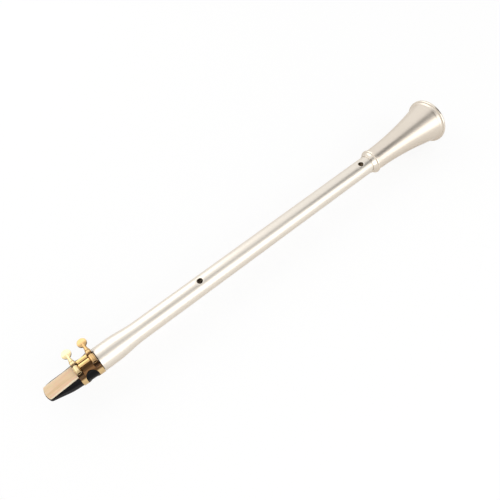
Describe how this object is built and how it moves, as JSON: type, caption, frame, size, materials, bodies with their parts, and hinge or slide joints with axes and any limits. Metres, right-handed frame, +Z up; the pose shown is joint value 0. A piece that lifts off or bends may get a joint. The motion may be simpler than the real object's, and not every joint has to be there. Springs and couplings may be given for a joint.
{
  "type": "pocket saxophone",
  "caption": "Straight pocket saxophone: plated tube with finger holes, push-on bell, black mouthpiece with cane reed and a brass two-screw ligature.",
  "frame": {"origin": "centre of the bounding box at its base, which is the lowest point of the bell's rim", "axes": "+X along the bore from the mouthpiece to the bell, +Z up through the reed and the thumb hole, +Y towards the heads of the thumb screws"},
  "size_m": [0.4592, 0.047, 0.047],
  "materials": {
    "satin_nickel": "satin nickel plate on brass",
    "plated_rim": "brighter nickel plate on brass",
    "gold_lacquer": "polished, clear gold lacquer",
    "black_hard_rubber": "polished black",
    "cane": "bare cane",
    "cork": "greased cork"
  },
  "bodies": {
    "tube": {"body_tube": "satin_nickel"},
    "bell": {"bell": "satin_nickel", "bell_ferrule": "plated_rim", "bell_rim_ring": "plated_rim"},
    "cork": {"tenon_cork": "cork"},
    "mouthpiece": {"mouthpiece": "black_hard_rubber"},
    "reed": {"reed": "cane"},
    "ligature": {"ligature_band": "gold_lacquer", "head_side_rail": "gold_lacquer", "tail_side_rail": "gold_lacquer", "front_head_post": "gold_lacquer", "front_tail_post": "gold_lacquer", "rear_head_post": "gold_lacquer", "rear_tail_post": "gold_lacquer"},
    "front_screw": {"front_thumb_screw": "gold_lacquer"},
    "rear_screw": {"rear_thumb_screw": "gold_lacquer"}
  },
  "joints": [
    {"name": "bell_pull", "type": "slide", "parent": "tube", "child": "bell", "axis": [1, 0, 0], "range_m": [0, 0.022]},
    {"name": "mouthpiece_pull", "type": "slide", "parent": "tube", "child": "cork", "axis": [-1, 0, 0], "range_m": [0, 0.02]},
    {"name": "mouthpiece_turn", "type": "hinge", "parent": "cork", "child": "mouthpiece", "pos_m": [-0.17405, 0, 0.0235], "axis": [1, 0, 0], "continuous": true},
    {"name": "reed_slide", "type": "slide", "parent": "mouthpiece", "child": "reed", "axis": [-0.9983, 0, -0.0576], "range_m": [0, 0.047]},
    {"name": "ligature_slide", "type": "slide", "parent": "mouthpiece", "child": "ligature", "axis": [-1, 0, 0], "range_m": [0, 0.05]},
    {"name": "front_screw_turn", "type": "hinge", "parent": "ligature", "child": "front_screw", "pos_m": [-0.19925, 0, 0.03672], "axis": [0, 1, 0], "continuous": true},
    {"name": "rear_screw_turn", "type": "hinge", "parent": "ligature", "child": "rear_screw", "pos_m": [-0.18455, 0, 0.03728], "axis": [0, 1, 0], "continuous": true}
  ]
}
